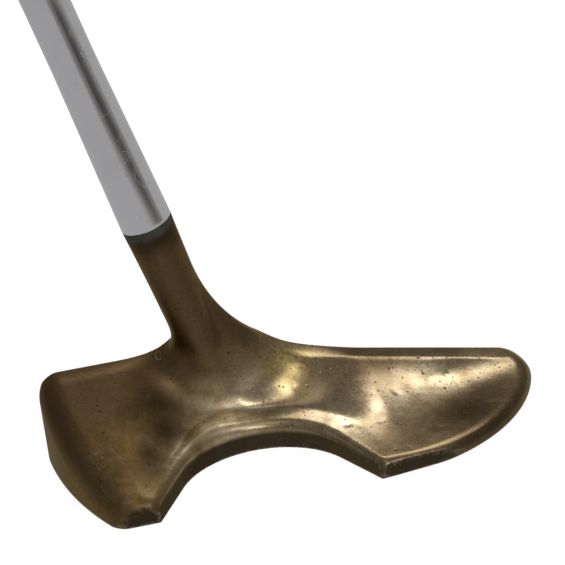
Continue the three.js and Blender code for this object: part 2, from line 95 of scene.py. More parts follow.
def ringGrid(rows, around):
    # the four corners of each cell of a grid that closes on itself both ways; their rows and
    # columns are also given unwrapped, so that a pattern can run past the closing seam
    row, column = np.meshgrid(np.arange(rows), np.arange(around), indexing="ij")
    rowAt = np.stack([row, row, row + 1, row + 1], axis=-1).reshape(-1, 4)
    columnAt = np.stack([column, column + 1, column + 1, column], axis=-1).reshape(-1, 4)
    return (rowAt % rows) * around + columnAt % around, rowAt, columnAt


def meshPiece(name, points, faces, material, nodes, values=None, uv=None):
    a, b, c, d = (points[faces[:, corner]] for corner in range(4))
    volume = np.einsum("ij,ij->", a, np.cross(b, c)) + np.einsum("ij,ij->", a, np.cross(c, d))
    order = slice(None, None, -1) if volume < 0 else slice(None)  # faces point outwards
    faces = np.ascontiguousarray(faces[:, order])
    mesh = bpy.data.meshes.new(name)
    mesh.vertices.add(len(points))
    mesh.vertices.foreach_set("co", (points * mm).ravel())
    mesh.loops.add(faces.size)
    mesh.loops.foreach_set("vertex_index", faces.ravel())
    mesh.polygons.add(len(faces))
    mesh.polygons.foreach_set("loop_start", np.arange(0, faces.size, 4))
    mesh.update(calc_edges=True)
    mesh.polygons.foreach_set("use_smooth", np.ones(len(faces), bool))
    for key, value in (values or {}).items():
        mesh.attributes.new(key, "FLOAT", "POINT").data.foreach_set("value", value)
    if uv is not None:
        layer = mesh.uv_layers.new(name="wrap")
        layer.data.foreach_set("uv", np.ascontiguousarray(uv[:, order]).ravel())
    mesh.validate()
    piece = added(name, mesh)
    mesh.materials.append(material)
    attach(piece, wholeBody)
    if nodes:
        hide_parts(*nodes)


# Shader helpers

def clearedTree(owner):
    # the emptied shader tree of a material or a world
    owner.use_nodes = True
    owner.node_tree.nodes.clear()
    return owner.node_tree


def addNode(tree, kind, inputs=None, **settings):
    # a node with its settings, and with each input either linked to a socket or set to a value
    node = tree.nodes.new("ShaderNode" + kind)
    for key, value in settings.items():
        setattr(node, key, value)
    for key, value in (inputs or {}).items():
        if isinstance(value, bpy.types.NodeSocket):
            tree.links.new(value, node.inputs[key])
        else:
            node.inputs[key].default_value = value
    return node


def maths(tree, operation, *values, clamp=False):
    inputs = dict(enumerate(values))
    return addNode(tree, "Math", inputs, operation=operation, use_clamp=clamp).outputs[0]


def opaque(colour):
    return (*colour, 1) if isinstance(colour, tuple) else colour


def mixed(tree, factor, first, second, blend="MIX"):
    # colours mixed by a factor; plain colours are three numbers
    inputs = {0: factor, 6: opaque(first), 7: opaque(second)}
    return addNode(tree, "Mix", inputs, data_type="RGBA", blend_type=blend).outputs[2]


def stretched(tree, value, fromLow, fromHigh, toLow=0.0, toHigh=1.0):
    # a value carried from one range to another with soft ends
    inputs = {0: value, 1: fromLow, 2: fromHigh, 3: toLow, 4: toHigh}
    return addNode(tree, "MapRange", inputs, interpolation_type="SMOOTHSTEP").outputs[0]


def weighted(tree, total, masks, weights, clamp=False):
    # a start value plus each named mask times its weight
    for key, weight in weights.items():
        share = maths(tree, "MULTIPLY", masks[key], weight)
        total = maths(tree, "ADD", total, share, clamp=clamp)
    return total


def shaken(tree, value, mask, reach):
    # a value pushed to both sides by a mask
    offset = maths(tree, "SUBTRACT", mask, 0.5)
    return maths(tree, "ADD", value, maths(tree, "MULTIPLY", offset, reach))


def noise(tree, vector, scale, detail=4, roughness=0.55, distortion=0.0):
    inputs = {"Vector": vector, "Scale": scale, "Detail": detail, "Roughness": roughness,
              "Distortion": distortion}
    return addNode(tree, "TexNoise", inputs).outputs["Fac"]


def grained(tree, vector, lean, stretch, *values):
    # a noise drawn out along the up axis, which leans by an angle
    inputs = {"Vector": vector, "Rotation": (0, lean, 0), "Scale": (1, 1, stretch)}
    return noise(tree, addNode(tree, "Mapping", inputs).outputs[0], *values)


def cells(tree, vector, scale):
    return addNode(tree, "TexVoronoi", {"Vector": vector, "Scale": scale}).outputs["Distance"]


def patterned(tree, where, kind, *values):
    # A mask over the surface. Noise takes scale, detail, roughness and distortion, grained a lean
    # and a stretch before those, cells a scale, and a group the numbers that its sockets name.
    makers = {"noise": noise, "grained": grained, "cells": cells}
    if kind in makers:
        return makers[kind](tree, where, *values)
    inputs = dict(enumerate((where, *values)))
    return addNode(tree, "Group", inputs, node_tree=bpy.data.node_groups[kind]).outputs["Mask"]


groupValues = {
    "scratchTurns": ((0.5, 0.0), (-1.1, 7.0), (1.9, 19.0)),  # angle and seed of each set of lines
    "scratchTilt": 0.6, "scratchStretch": 0.05, "scratchBend": 0.2, "scratchPatches": 0.35,
    "pitWobble": 2.0, "pitLeast": 0.5, "blotchRoughness": 0.6, "blotchBend": 0.6,
}


def peaked(tree, distance, reach):
    # one at no distance, falling evenly to none at the reach
    return maths(tree, "SUBTRACT", 1.0, maths(tree, "DIVIDE", distance, reach), clamp=True)


def newGroup(name, **numbers):
    # a node group that makes a mask from a vector and some named numbers
    group = bpy.data.node_groups.new(name, "ShaderNodeTree")
    group.interface.new_socket("Vector", in_out="INPUT", socket_type="NodeSocketVector")
    for key, number in numbers.items():
        socket = group.interface.new_socket(key, in_out="INPUT", socket_type="NodeSocketFloat")
        socket.default_value = number
    group.interface.new_socket("Mask", in_out="OUTPUT", socket_type="NodeSocketFloat")
    given, result = group.nodes.new("NodeGroupInput"), group.nodes.new("NodeGroupOutput")
    return group, given.outputs, result.inputs["Mask"]


def makeScratchGroup():
    # Long thin scratches: three noises stretched along slanted lines, each kept only where its
    # value crosses the middle, and broken up by a coarser noise
    v = groupValues
    group, given, result = newGroup("fineScratches", Scale=300.0, Width=0.006, Amount=0.5)
    least = maths(group, "SUBTRACT", 1.0, given["Amount"])
    patchScale = maths(group, "MULTIPLY", given["Scale"], v["scratchPatches"])
    mask = 0.0
    for angle, seed in v["scratchTurns"]:
        slanted = addNode(group, "Mapping", {
            "Vector": given["Vector"], "Location": (seed, seed, seed),
            "Rotation": (angle, angle * v["scratchTilt"], angle),
            "Scale": (1, v["scratchStretch"], 1)}).outputs[0]
        line = noise(group, slanted, given["Scale"], 1, distortion=v["scratchBend"])
        offMiddle = maths(group, "ABSOLUTE", maths(group, "SUBTRACT", line, 0.5))
        thin = peaked(group, offMiddle, given["Width"])
        kept = maths(group, "GREATER_THAN", noise(group, slanted, patchScale, 2), least)
        mask = maths(group, "MAXIMUM", mask, maths(group, "MULTIPLY", thin, kept))
    group.links.new(mask, result)


def makePitGroup():
    # Small round pits: the middles of scattered cells, only in the cells whose own random number
    # lies under the wanted share
    v = groupValues
    group, given, result = newGroup("smallPits", Scale=500.0, Radius=0.16, Share=0.15)
    fineScale = maths(group, "MULTIPLY", given["Scale"], v["pitWobble"])
    wobble = noise(group, given["Vector"], fineScale, 2)
    cell = addNode(group, "TexVoronoi", {key: given[key] for key in ("Vector", "Scale")}).outputs
    reach = maths(group, "MULTIPLY", given["Radius"], maths(group, "ADD", wobble, v["pitLeast"]))
    depth = peaked(group, cell["Distance"], reach)
    chance = addNode(group, "SeparateColor", {"Color": cell["Color"]}).outputs[0]
    kept = maths(group, "LESS_THAN", chance, given["Share"])
    group.links.new(maths(group, "MULTIPLY", depth, kept), result)


def makeBlotchGroup():
    # Uneven patches: a coarse bent noise, stretched to full contrast
    v = groupValues
    group, given, result = newGroup("blotches", Scale=40.0, Low=0.4, High=0.6)
    coarse = noise(group, given["Vector"], given["Scale"], 5, v["blotchRoughness"], v["blotchBend"])
    group.links.new(stretched(group, coarse, given["Low"], given["High"]), result)


def makeFinish(name, look, addMasks=None):
    # A material from its look. Patterns lie over the object's own coordinates. A sum adds masks
    # times their weights, and a broken mask is one mask times another, stretched from range to
    # range. Each colour layer covers the ones below where its mask says so, up to a share, and a
    # layer without a colour multiplies them by its mask. Relief is a sum of masks as well.
    material = bpy.data.materials.new(name)
    tree = clearedTree(material)
    shader = addNode(tree, "BsdfPrincipled")
    addNode(tree, "OutputMaterial", {0: shader.outputs[0]})
    where = addNode(tree, "TexCoord").outputs["Object"]
    masks = {key: patterned(tree, where, *values) for key, values in look["patterns"].items()}
    if addMasks:
        addMasks(tree, where, masks)
    for key, weights in look.get("sums", {}).items():
        masks[key] = weighted(tree, 0.0, masks, weights, clamp=True)
    for key, (first, second, *span) in look.get("broken", {}).items():
        mask = stretched(tree, masks[second], *span) if span else masks[second]
        masks[key] = maths(tree, "MULTIPLY", masks[first], mask) if first else mask
    base = look["colours"]["plain"]
    for key, share, colour in look["layers"]:
        if colour:
            cover = maths(tree, "MULTIPLY", masks[key], share)
            base = mixed(tree, cover, base, look["colours"][colour])
        else:
            base = mixed(tree, share, base, masks[key], "MULTIPLY")
    tree.links.new(base, shader.inputs["Base Color"])
    for key, (start, weights) in look["shader"].items():
        if weights:
            tree.links.new(weighted(tree, start, masks, weights), shader.inputs[key])
        else:
            shader.inputs[key].default_value = start
    height = weighted(tree, 0.0, masks, look["relief"])
    bump = {"Height": height, "Distance": look["reliefDepth"], "Strength": 1.0}
    tree.links.new(addNode(tree, "Bump", bump).outputs[0], shader.inputs["Normal"])
    return material


makeScratchGroup()
makePitGroup()
makeBlotchGroup()
print("shader groups made")


# Brass casting: sizes as in the CAD part, with small radii on the ground edges
headSizes = {
    "originBehindFace": 7, "depth": 37, "faceLoft": math.radians(3),
    "heelReach": 42.4, "heelRadius": 82, "heelCentreAhead": 2.6,
    "toeReach": 63.2, "toePastFlat": 0.5, "toeCentreAhead": 1.8, "toeFlatTurn": math.radians(9),
    "notchRadius": 18.6, "notchCentreInset": 3.3, "mouthHalfWidth": 22.9,
    "heelHeight": 19.8, "toeHeight": 4.3, "kneeBehindCentre": 8.5, "toplineWidth": 4.8,
    "heelLipHeight": 5.1, "toeLipHeight": 4, "rimHeight": 3.8, "bladeDrop": 4, "bladeReach": 8,
    "bowlHeight": 5.8, "bowlSlope": 0.22, "terraceWidth": 5, "heelTerraceWidth": 1.8,
    "bowlSteepness": 1.15, "toeSteepness": 0.7, "bowlSoftness": 2, "toewardShare": 0.6,
    "heelwardShare": 0.2, "shoulderHeight": 1.8, "shoulderFromCentre": 11,
    "shoulderBehindFace": 11, "shoulderLength": 8, "shoulderWidth": 7,
    "hollowDepth": 2.6, "hollowFromCentre": 47, "hollowBehindFace": 18.5,
    "hollowLength": 15, "hollowWidth": 8, "hollowTurn": math.radians(35),
    "kneeBlend": 2, "toplineBlend": 0.8, "blendSpread": 1.5, "lobeBlend": 7, "bowlBlend": 6,
    "rimBlend": 3, "faceBlend": 2, "faceOverlap": 1.5,
    "heelRimRadius": 5.2, "toeRimRadius": 2.8, "toeTipRadius": 7, "toeTipReach": 12,
    "notchRimRadius": 2, "soleEdgeRadius": 1.2, "groundEdgeRadius": 0.45, "filletShare": 0.25,
    "lieLean": math.radians(14.4), "neckFromCentre": 6.5, "neckBehindFace": 4.6,
    "neckFootHeight": 21.3, "neckLength": 31.5, "neckRadius": 4.75,
    "neckRootDrop": 13, "neckRootTaper": 3.6, "neckRootLean": 2.2, "tenonLength": 30,
    "neckHeelBlend": 13, "neckBackBlend": 10, "neckToeBlend": 30, "neckToeFocus": 3,
    "pitch": 0.36, "quickPitch": 0.7, "slopeStep": 0.01, "curveStep": 0.5,
    "margin": 3, "waveDepth": 0.006, "fineWaves": 0.5, "dentLeastUp": 0.3,
    "skinBlock": 4, "skinNear": 1.5, "skinSlides": 5, "skinLeastSlope": 0.25, "skinSlideParts": 3,
}

# Where the masks stored in the mesh begin and end: bend in radians to the millimetre, distance from
# a flat or the wall in millimetres, and distance from a rim as a share of its radius. The wall's
# mask begins a little way off it, and fades out above a height.
headMasks = {
    "edge": (0.5, 2.2), "crease": (0.03, 0.2), "flat": (0.02, 0.25), "heelRim": (-1.1, -0.1),
    "toeRim": (-1.2, -0.1), "wallSlack": 0.16, "wallTop": (3.2, 4.8), "wallFade": 0.25,
}

# Waves of a hand-finished skin, each a sine along a direction from a start, bent by another sine
# of its own strength, direction and start
headWaves = (
    ((0.55, 0, 0), 0, 1.3, (0, 0.31, 0), 0), ((0, 0.63, 0), 0, 0.9, (0.27, 0, 0), 2),
    ((1.1, 0.8, 0.9), 0, 0, (0, 0, 0), 0), ((-0.5, 1.2, 0), 1, 0, (0, 0, 0), 0),
)

# Dents in the back of the head: place across and behind the face, radius and depth
headDents = (
    (-36.5, -17.5, 1.3, 0.10), (-31.2, -21.0, 0.9, 0.07), (-28.4, -33.0, 1.0, 0.12),
    (-13.6, -15.4, 0.6, 0.08), (19.5, -21.5, 0.7, 0.10), (26.0, -22.6, 0.6, 0.09),
    (31.5, -14.0, 0.8, 0.07), (38.0, -27.0, 0.7, 0.09), (43.5, -8.6, 0.6, 0.07),
    (11.0, -9.5, 0.7, 0.07), (50.5, -20.5, 0.9, 0.08), (-24.6, -9.0, 0.8, 0.05),
)

# Places marked in the head's colour: place from the head's own origin, reach and strength, each a
# round bell curve about its place. The rubbed places are painted highlights in the colour of bright
# rubbed metal, the golden ones a painted gold highlight, and the dark ones painted shade
headPlaces = {
    # painted highlights in the crook of the neck, round the cut-out's rim and up the toe
    "rubbedAndHighlight": (
        (-4.3, -12.6, 7.3, 7.5, 1.00), (1.0, -9.0, 9.5, 5.0, 0.80), (14.5, -16.4, 5.8, 4.5, 0.55),
        (18.9, -19.9, 5.5, 5.5, 0.80), (26, -17.5, 5.8, 5.5, 0.60), (32, -14.4, 6.6, 5.0, 0.45),
        (37, -11.5, 6.4, 5.0, 0.50), (42.1, -8.9, 6.2, 5.0, 0.70), (51.3, -6.7, 5.3, 4.5, 0.40),
        (-15, -21, 5.0, 4.0, 0.60), (-16.5, -25.5, 4.5, 4.0, 0.60), (-19, -30, 3.5, 3.5, 0.45),
    ),
    # a painted gold highlight beside the neck's foot
    "goldHighlight": ((10.0, -6.3, 14.7, 4.2, 0.95), (14.5, -4.4, 13.9, 2.2, 0.5)),
    # painted shade: darker round the neck's root, over the heel, along the topline and in the toe's hollow
    "dark": (
        (-16, -4, 18.5, 8.0, 1.0), (-17.5, -9.5, 13.3, 7.5, 1.0), (-17.9, -15.4, 9.3, 6.5, 0.95),
        (-22, -27, 7.0, 6.5, 0.55), (-27, -8, 17.5, 7.5, 0.75), (-22.6, -23.7, 8.7, 4.5, 0.8),
        (-25, -28, 8.0, 4.5, 0.7), (-25, -3, 19.8, 7.0, 0.6), (-36, -3, 19.8, 7.0, 0.6),
        (28, -4, 12.5, 9.0, 0.45), (43, -4, 9.5, 8.0, 0.4), (15, -4, 14.5, 5.0, 0.35),
        (45.3, -22, 3.8, 8.5, 0.95), (50, -17, 3.6, 6.0, 0.7), (-31.3, -7, 18.5, 8.0, 0.85),
        (-8, -8, 17.0, 5.0, 0.7), (-2, -6, 16.0, 6.0, 0.6),
    ),
}

shaftSizes = {
    "length": 826, "radius": 4.7, "tipRadius": 5.4, "buttRadius": 7.35, "wall": 0.6,
    "flareLength": 38, "parallelLength": 250, "edge": 0.25, "seam": 0.05, "sides": 96,
    "edgeRows": 5, "flareRows": 12, "bodyRows": 60, "flareRowsFrom": 1, "bodyRowsFrom": 10,
    "boreRowEvery": 6, "closedShare": 0.0003,
}

gap = 0.3  # between pieces that touch


def blendedLeast(a, b, blend):
    # smallest of two distances, its corner filled over the blend's width
    nearness = np.maximum(1 - np.abs(a - b) / blend, 0)
    return np.minimum(a, b) - nearness**2 * blend * headSizes["filletShare"]


def blendedMost(a, b, blend):
    return -blendedLeast(-a, -b, blend)


def roundedMost(a, b, radius):
    # largest of two distances, its corner rounded to a true radius
    inside = np.minimum(np.maximum(a, b), -radius)
    return inside + np.hypot(np.maximum(a + radius, 0), np.maximum(b + radius, 0))


def fromHeight(height, slope):
    # distance from a surface, given the height above it and its slope
    return height / np.sqrt(1 + slope**2)


def softStep(value, low, high):
    share = np.clip((value - low) / (high - low), 0, 1)
    return share * share * (3 - 2 * share)


def between(low, high, share):
    return low + (high - low) * share


def bell(*shares):
    # one at the middle, dying away as e to the minus the sum of the squares
    return np.exp(-sum(share**2 for share in shares))


def crownDistance(x, y, z):
    # Top of the head without the neck: the least metal that a level topline falling to the toe, a
    # plane back slope on each side of it and a bowl round the cut-out leave above a low level rim.
    # The toe's slope drops off behind the topline as an exponential that dies away, with a long
    # hollow sunk in it as a bell curve of two directions. The bowl is a gentle cone for a terrace's
    # width, then turns up as a hyperbola to a steep cone, less steep towards the toe, with a low
    # shoulder added under the neck as a second bell curve.
    h = headSizes
    toeFall = (h["heelHeight"] - h["toeHeight"]) / (h["toeReach"] + h["kneeBehindCentre"])
    heelSlope = (h["heelHeight"] - h["heelLipHeight"]) / (h["depth"] - h["toplineWidth"])
    atMouth = h["heelHeight"] - toeFall * (h["mouthHalfWidth"] + h["kneeBehindCentre"])
    toeSlope = (atMouth - h["bladeDrop"] - h["toeLipHeight"]) / (h["depth"] - h["toplineWidth"])
    underHeel = z - h["heelHeight"]
    underToe = underHeel + (x + h["kneeBehindCentre"]) * toeFall
    topline = blendedMost(underHeel, fromHeight(underToe, toeFall), h["kneeBlend"])
    behindTopline = -(y + h["toplineWidth"])
    heelBack = fromHeight(underHeel + behindTopline * heelSlope, heelSlope)
    along, across = turned(x - h["hollowFromCentre"], y + h["hollowBehindFace"], h["hollowTurn"])
    hollow = h["hollowDepth"] * bell(along / h["hollowLength"], across / h["hollowWidth"])
    bladeDrop = h["bladeDrop"] * (1 - np.exp(-np.maximum(behindTopline, 0) / h["bladeReach"]))
    toeHeight = underToe + behindTopline * toeSlope + bladeDrop + hollow
    toeBack = fromHeight(toeHeight, math.hypot(toeFall, toeSlope))
    fromNotch = np.hypot(x, y + h["depth"] - h["notchCentreInset"]) - h["notchRadius"]
    out = np.maximum(fromNotch, 0)
    toeward = x / np.maximum(fromNotch + h["notchRadius"], h["slopeStep"])
    toeShare = softStep(toeward, 0, h["toewardShare"])
    steepness = between(h["bowlSteepness"], h["toeSteepness"], toeShare)
    heelShare = softStep(-toeward, h["heelwardShare"], 1)
    terrace = between(h["terraceWidth"], h["heelTerraceWidth"], heelShare)
    past = np.maximum(out - terrace, 0)
    eased = np.hypot(past, h["bowlSoftness"])
    across = (x + h["shoulderFromCentre"]) / h["shoulderLength"]
    along = (y + h["shoulderBehindFace"]) / h["shoulderWidth"]
    shoulder = h["shoulderHeight"] * bell(across, along)
    bowlRise = out * h["bowlSlope"] + (eased - h["bowlSoftness"]) * steepness
    bowlHeight = h["bowlHeight"] + shoulder + bowlRise
    bowl = fromHeight(z - bowlHeight, h["bowlSlope"] + steepness * past / eased)
    backs = blendedMost(blendedMost(heelBack, toeBack, h["lobeBlend"]), bowl, h["bowlBlend"])
    rear = blendedLeast(backs, z - h["rimHeight"], h["rimBlend"])
    above = np.maximum(np.maximum(topline, rear), 0)
    return blendedMost(topline, rear, h["toplineBlend"] + above * h["blendSpread"])


def facePlane(y, z):
    # distance past the lofted face
    return y * math.cos(headSizes["faceLoft"]) + z * math.sin(headSizes["faceLoft"])


def acrossNeck(x, y, z):
    # a point seen from the neck's foot, the third number running up its axis
    h = headSizes
    across, up = turned(x + h["neckFromCentre"], z - h["neckFootHeight"], h["lieLean"])
    return across, y + h["neckBehindFace"], up


def outlineDistances(x, y):
    # plan distances past the heel's arc and past the toe's rounded end
    h = headSizes
    toeRadius = h["depth"] + h["toeCentreAhead"] + h["toePastFlat"]
    toeCentre = h["toeReach"] - toeRadius
    heelCentre = h["heelRadius"] - h["heelReach"]
    heelSide = np.hypot(x - heelCentre, y - h["heelCentreAhead"]) - h["heelRadius"]
    toeSide = np.hypot(np.maximum(x - toeCentre, 0), y - h["toeCentreAhead"]) - toeRadius
    return np.where(x < toeCentre, heelSide, -h["heelRadius"]), toeSide


def castDistance(x, y, z):
    # The crown, ended just ahead of the face, joined to a leaning round bar whose root tapers and
    # bends forward as it runs down inside the crown. The fillet between them is widest on the toe
    # side and narrow behind. What lies past the heel's and the toe's arcs and inside the cut-out
    # is taken off, and the rims are rounded over.
    h = headSizes
    nx, ny, nz = acrossNeck(x, y, z)
    root = softStep(-nz, 0, h["neckRootDrop"])
    ny = ny - h["neckRootLean"] * root
    fromAxis = np.hypot(nx, ny)
    rise = np.clip(nz / h["neckLength"], 0, 1)
    radius = between(h["neckRadius"], shaftSizes["tipRadius"], rise**2) - h["neckRootTaper"] * root
    neck = np.hypot(fromAxis, np.minimum(nz + h["neckRootDrop"], 0)) - radius
    safe = np.maximum(fromAxis, h["slopeStep"])
    toeward, backward = np.maximum(nx / safe, 0), np.maximum(-ny / safe, 0)
    blend = between(h["neckHeelBlend"], h["neckToeBlend"], toeward ** h["neckToeFocus"])
    blend = blend + (h["neckBackBlend"] - h["neckHeelBlend"]) * softStep(backward, 0, 1)
    blade = np.maximum(crownDistance(x, y, z), facePlane(y, z) - h["faceOverlap"])
    crown = blendedLeast(blade, neck, blend)
    heelSide, toeSide = outlineDistances(x, y)
    heelEdge = roundedMost(crown, heelSide, h["heelRimRadius"])
    nearTip = np.maximum(1 + np.minimum(y, 0) / h["toeTipReach"], 0)
    toeRounding = between(h["toeRimRadius"], h["toeTipRadius"], nearTip**2)
    skin = roundedMost(heelEdge, toeSide, toeRounding)
    skin = roundedMost(skin, -z, h["soleEdgeRadius"])
    upWall = np.clip((z - h["soleEdgeRadius"]) / h["notchRimRadius"], 0, 1)
    rimRadius = between(h["groundEdgeRadius"], h["notchRimRadius"], upWall)
    return roundedMost(skin, -notchDistance(x, y), rimRadius)


def notchDistance(x, y):
    # plan distance outside the cut-out: a circle, its sides run on straight to the mouth's corners
    h = headSizes
    side, rear = np.abs(x), y + h["depth"] - h["notchCentreInset"]
    reach = math.hypot(h["mouthHalfWidth"], h["notchCentreInset"])
    touch = math.atan2(-h["notchCentreInset"], h["mouthHalfWidth"]) + math.acos(h["notchRadius"] / reach)
    straight = side * math.cos(touch) + rear * math.sin(touch)
    return np.where(np.arctan2(rear, side) > touch, np.hypot(side, rear), straight) - h["notchRadius"]


def flatDistances(x, y, z):
    # Distances past the heel's flat, the toe's flat and the lofted face, which turns forward at 45
    # degrees above the topline so that the neck stays round
    h = headSizes
    plane = facePlane(y, z)
    rising = (plane - (z - h["heelHeight"])) * math.sqrt(0.5)
    face = blendedLeast(plane, rising, h["faceBlend"])
    heelFlat = -(y + h["depth"])
    turn = h["toeFlatTurn"]
    toeFlat = (x - h["mouthHalfWidth"]) * math.sin(turn) - (y + h["depth"]) * math.cos(turn)
    return face, heelFlat, toeFlat


def headDistance(x, y, z):
    # the casting ground flat at the face, the rear flats and the neck's end, and cut out at the rear
    edge = headSizes["groundEdgeRadius"]
    distance = castDistance(x, y, z)
    for cut in (*flatDistances(x, y, z), -notchDistance(x, y)):
        distance = roundedMost(distance, cut, edge)
    return roundedMost(distance, acrossNeck(x, y, z)[2] - headSizes["neckLength"], edge / 2)


def slopeOf(distance, points, step):
    # difference of the distance across two steps along each axis, over the way between them
    rises = [distance(*(points + shift).T) - distance(*(points - shift).T) for shift in np.eye(3) * step]
    return np.stack(rises, axis=-1) / (2 * step)


def skinOf(distance, low, high, pitch):
    # Closed surface where a distance is zero. Each grid cell that it crosses gets one point, the
    # mean of the crossings on the cell's edges, slid down the slope on to the surface, and each
    # crossed edge one face through its four cells. Only blocks near the surface are sampled in full.
    h = headSizes
    block = h["skinBlock"]
    counts = [math.ceil((high[axis] - low[axis]) / (pitch * block)) for axis in range(3)]
    centres = [low[axis] + pitch * block * (np.arange(counts[axis]) + 0.5) for axis in range(3)]
    value = distance(*np.meshgrid(*centres, indexing="ij"))
    for axis in range(3):
        value = np.repeat(value, block, axis=axis)
    near = np.abs(value) < pitch * block * h["skinNear"]
    nearAt = np.nonzero(near)
    value[near] = distance(*(low[axis] + pitch * (nearAt[axis] + 0.5) for axis in range(3)))
    inside = value < 0
    ends = (slice(0, -1), slice(1, None))
    filled = sum(inside[i, j, k].astype(np.int8) for i in ends for j in ends for k in ends)
    crossedCells = (filled > 0) & (filled < 2**3)
    at = np.array(np.nonzero(crossedCells))
    number = np.full(crossedCells.shape, -1)
    number[crossedCells] = np.arange(at.shape[1])
    total, crossings = np.zeros(at.shape), np.zeros(at.shape[1])
    # a step of one cell along each axis; counted round, the next two axes are at -2 and -1
    ways = np.eye(3, dtype=int)[:, :, None]
    for axis, way in enumerate(ways):
        first, second = ways[axis - 2], ways[axis - 1]
        for shift in (0 * way, first, second, first + second):
            a, b = value[tuple(at + shift)], value[tuple(at + shift + way)]
            crossed = (a < 0) != (b < 0)
            total += crossed * (shift + way * (a / np.where(crossed, a - b, 1)))
            crossings += crossed
    points = np.array(low) + pitch * (at + total / crossings + 0.5).T
    longest = pitch / h["skinSlideParts"]
    for slideRound in range(h["skinSlides"]):
        slope = slopeOf(distance, points, h["slopeStep"])
        steepness = np.maximum((slope**2).sum(axis=1), h["skinLeastSlope"])
        slide = np.clip(distance(*points.T) / steepness, -longest, longest)
        points = points - slope * slide[:, None]
    faces = []
    for axis, way in enumerate(ways):
        first, second = ways[axis - 2], ways[axis - 1]
        start = np.array(np.nonzero(np.diff(inside, axis=axis)))
        shifts = (0 * way, first, first + second, second)
        ring = np.stack([number[tuple(start - shift)] for shift in shifts], axis=-1)
        leaving = inside[tuple(start)]
        faces.append(np.where(leaving[:, None], ring, ring[:, ::-1]))
    return points, np.concatenate(faces)


def makeHead(material):
    # The skin where the head's distance is zero, lifted by a sum of waves and lowered by bell
    # dents. The masks come from how far it bends and how far it lies from cuts, rims and places.
    h, masks = headSizes, headMasks
    margin = h["margin"]
    neckTop = h["neckFootHeight"] + h["neckLength"] + shaftSizes["tipRadius"]
    low = (-h["heelReach"] - margin, -h["depth"] - margin, -margin)
    high = (h["toeReach"] + margin, margin, neckTop)
    pitch = h["pitch"]
    points, faces = skinOf(headDistance, low, high, pitch)
    x, y, z = points.T
    slope = slopeOf(headDistance, points, h["slopeStep"])
    normals = slope / np.maximum(np.linalg.norm(slope, axis=1), tiny)[:, None]
    steps = np.concatenate([np.eye(3), -np.eye(3)]) * h["curveStep"]
    around = sum(headDistance(*(points + step).T) for step in steps)
    curve = (around - len(steps) * headDistance(x, y, z)) / h["curveStep"]**2
    # the wall's skin lies a little behind its cut, because the rounded rim eases into it
    wall = np.maximum(np.abs(notchDistance(x, y)) - masks["wallSlack"], 0)
    wall = wall + softStep(z, *masks["wallTop"]) * masks["wallFade"]
    face, *rearFlats = (np.abs(cut) for cut in flatDistances(x, y, z))
    ground = np.minimum.reduce([wall, *rearFlats])
    heelSide, toeSide = outlineDistances(x, y)
    values = {
        "edge": softStep(curve, *masks["edge"]),
        "crease": softStep(-curve, *masks["crease"]),
        "ground": 1 - softStep(ground, *masks["flat"]),
        "milled": 1 - softStep(np.minimum(face, np.abs(z)), *masks["flat"]),
        "rim": np.maximum(softStep(heelSide / h["heelRimRadius"], *masks["heelRim"]),
                          softStep(toeSide / h["toeRimRadius"], *masks["toeRim"])),
        "fromJoint": (h["neckLength"] - acrossNeck(x, y, z)[2]) * mm,
    }
    for key, places in headPlaces.items():
        values[key] = np.zeros(len(x))
        for across, behind, up, reach, strength in places:
            mark = strength * bell((x - across) / reach, (y - behind) / reach, (z - up) / reach)
            values[key] = np.maximum(values[key], mark)
    # a hand-finished skin: slow waves and a few dents, fading out on the ground flats
    free = (1 - values["ground"]) * (1 - values["milled"])
    waves = [np.sin(points @ way + start + bend * np.sin(points @ bendWay + bendStart))
             for way, start, bend, bendWay, bendStart in headWaves]
    lift = h["waveDepth"] * (waves[0] * waves[1] + h["fineWaves"] * waves[2] * waves[3])
    for across, behind, radius, depth in headDents:
        dent = depth * bell((x - across) / radius, (y - behind) / radius)
        lift = lift - dent * (normals[:, 2] > h["dentLeastUp"])
    points = points + normals * (lift * free)[:, None]
    points[:, 1] += h["originBehindFace"]
    meshPiece("putter_head", points, faces, material, ["head"], values)


